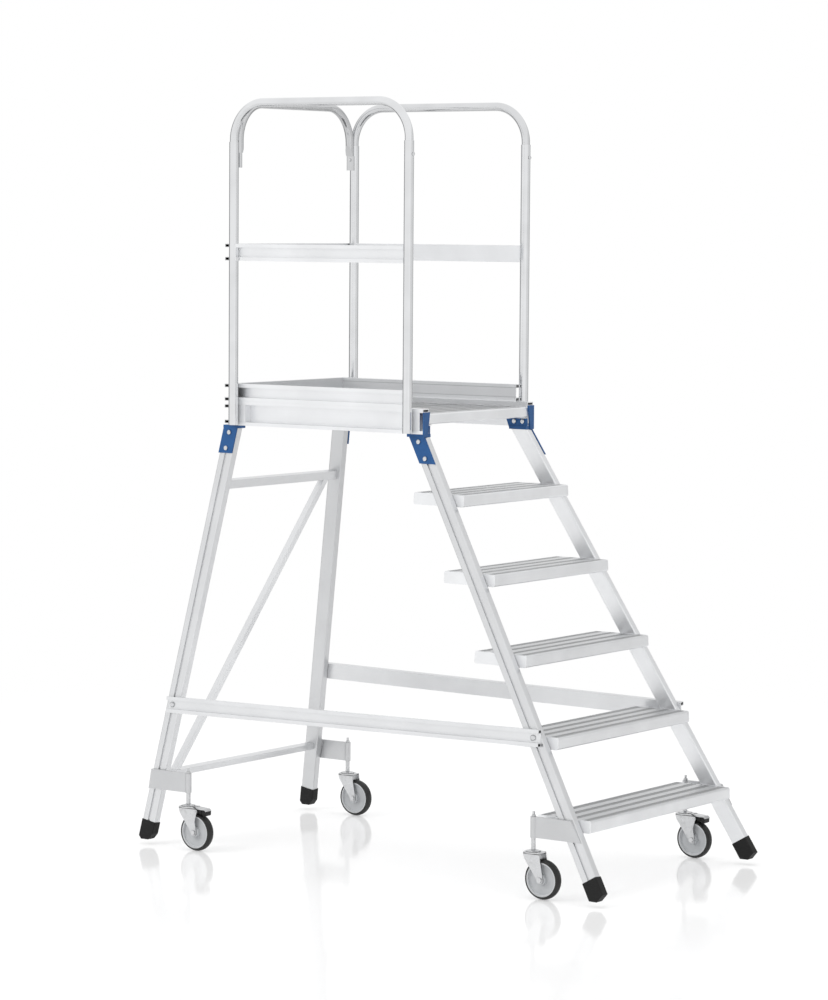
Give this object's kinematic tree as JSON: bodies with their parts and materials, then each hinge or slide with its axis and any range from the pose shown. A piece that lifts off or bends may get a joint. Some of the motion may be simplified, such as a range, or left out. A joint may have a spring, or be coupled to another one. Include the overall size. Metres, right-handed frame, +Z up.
{
  "type": "mobile platform ladder",
  "caption": "Splayed aluminium platform ladder with ribbed treads, a guarded deck and sprung swivel castors that lift the rubber feet for rolling it about",
  "frame": {"origin": "on the floor under the wheels, in the middle of the footprint", "axes": "+Z up; +X towards the treads, the side a user climbs from; +Y to the right of a user on the deck who faces away from the treads"},
  "size_m": [1.8316, 0.9554, 2.462],
  "materials": {
    "profile": "satin extruded",
    "ribbed": "satin, ribbed",
    "end_plate": "satin sheet",
    "tube": "bright drawn tube",
    "connector": "blue satin coat",
    "foot": "matt black",
    "bracket": "satin",
    "fastener": "zinc plated",
    "spring": "bare wire",
    "zinc": "bright zinc plated",
    "hub": "light grey moulded",
    "tyre": "black rubber",
    "brake_rubber": "matt black"
  },
  "bodies": {
    "frame": {"castor_brackets": "bracket", "castor_springs": "spring", "deck_nosing": "ribbed", "deck_planks": "ribbed", "frame_bolts": "fastener", "front_connectors": "connector", "front_stile_left": "profile", "front_stile_right": "profile", "guard_hoop_left": "tube", "guard_hoop_right": "tube", "guard_posts": "tube", "guard_screws": "fastener", "knee_rail_left": "profile", "knee_rail_rear": "profile", "knee_rail_right": "profile", "post_cleats": "end_plate", "rear_beam": "profile", "rear_connectors": "connector", "rear_diagonal": "profile", "rear_hoop": "tube", "rear_lower_crossbar": "profile", "rear_stile_left": "profile", "rear_stile_right": "profile", "rear_upper_crossbar": "profile", "rubber_feet": "foot", "side_beam_left": "profile", "side_beam_right": "profile", "side_brace_left": "profile", "side_brace_right": "profile", "toe_board_left": "profile", "toe_board_rear": "profile", "toe_board_right": "profile", "tread_1": "ribbed", "tread_2": "ribbed", "tread_3": "ribbed", "tread_4": "ribbed", "tread_5": "ribbed", "tread_end_plates": "end_plate"},
    "stem_front_left": {"castor_stem_front_left": "zinc"},
    "fork_front_left": {"castor_fork_front_left": "zinc"},
    "wheel_front_left": {"wheel_hub_front_left": "hub", "tyre_front_left": "tyre"},
    "stem_front_right": {"castor_stem_front_right": "zinc"},
    "fork_front_right": {"castor_fork_front_right": "zinc"},
    "wheel_front_right": {"wheel_hub_front_right": "hub", "tyre_front_right": "tyre"},
    "stem_rear_left": {"castor_stem_rear_left": "zinc"},
    "fork_rear_left": {"castor_fork_rear_left": "zinc"},
    "wheel_rear_left": {"wheel_hub_rear_left": "hub", "tyre_rear_left": "tyre"},
    "stem_rear_right": {"castor_stem_rear_right": "zinc"},
    "fork_rear_right": {"castor_fork_rear_right": "zinc"},
    "wheel_rear_right": {"wheel_hub_rear_right": "hub", "tyre_rear_right": "tyre"},
    "brake_front_right": {"brake_pedal_front_right": "zinc", "brake_block_front_right": "brake_rubber"},
    "brake_rear_left": {"brake_pedal_rear_left": "zinc", "brake_block_rear_left": "brake_rubber"}
  },
  "joints": [
    {"name": "lift_front_left", "type": "slide", "parent": "frame", "child": "stem_front_left", "axis": [0, 0, 1], "range_m": [0, 0.018], "stiffness_N_per_m": 5000, "springref_m": -0.05, "deforming": ["castor_springs"]},
    {"name": "swivel_front_left", "type": "hinge", "parent": "stem_front_left", "child": "fork_front_left", "pos_m": [0.65152, -0.44924, 0.1437], "axis": [0, 0, 1], "continuous": true},
    {"name": "roll_front_left", "type": "hinge", "parent": "fork_front_left", "child": "wheel_front_left", "pos_m": [0.68852, -0.44924, 0.0625], "axis": [0, 1, 0], "continuous": true},
    {"name": "lift_front_right", "type": "slide", "parent": "frame", "child": "stem_front_right", "axis": [0, 0, 1], "range_m": [0, 0.018], "stiffness_N_per_m": 5000, "springref_m": -0.05, "deforming": ["castor_springs"]},
    {"name": "swivel_front_right", "type": "hinge", "parent": "stem_front_right", "child": "fork_front_right", "pos_m": [0.65152, 0.44924, 0.1437], "axis": [0, 0, 1], "continuous": true},
    {"name": "roll_front_right", "type": "hinge", "parent": "fork_front_right", "child": "wheel_front_right", "pos_m": [0.68852, 0.44924, 0.0625], "axis": [0, 1, 0], "continuous": true},
    {"name": "lift_rear_left", "type": "slide", "parent": "frame", "child": "stem_rear_left", "axis": [0, 0, 1], "range_m": [0, 0.018], "stiffness_N_per_m": 5000, "springref_m": -0.05, "deforming": ["castor_springs"]},
    {"name": "swivel_rear_left", "type": "hinge", "parent": "stem_rear_left", "child": "fork_rear_left", "pos_m": [-0.71657, -0.43991, 0.1437], "axis": [0, 0, 1], "continuous": true},
    {"name": "roll_rear_left", "type": "hinge", "parent": "fork_rear_left", "child": "wheel_rear_left", "pos_m": [-0.67957, -0.43991, 0.0625], "axis": [0, 1, 0], "continuous": true},
    {"name": "lift_rear_right", "type": "slide", "parent": "frame", "child": "stem_rear_right", "axis": [0, 0, 1], "range_m": [0, 0.018], "stiffness_N_per_m": 5000, "springref_m": -0.05, "deforming": ["castor_springs"]},
    {"name": "swivel_rear_right", "type": "hinge", "parent": "stem_rear_right", "child": "fork_rear_right", "pos_m": [-0.71657, 0.43991, 0.1437], "axis": [0, 0, 1], "continuous": true},
    {"name": "roll_rear_right", "type": "hinge", "parent": "fork_rear_right", "child": "wheel_rear_right", "pos_m": [-0.67957, 0.43991, 0.0625], "axis": [0, 1, 0], "continuous": true},
    {"name": "brake_front_right", "type": "hinge", "parent": "fork_front_right", "child": "brake_front_right", "pos_m": [0.69652, 0.44924, 0.133], "axis": [0, 1, 0], "range_deg": [0, 8.8]},
    {"name": "brake_rear_left", "type": "hinge", "parent": "fork_rear_left", "child": "brake_rear_left", "pos_m": [-0.67157, -0.43991, 0.133], "axis": [0, 1, 0], "range_deg": [0, 8.8]}
  ]
}
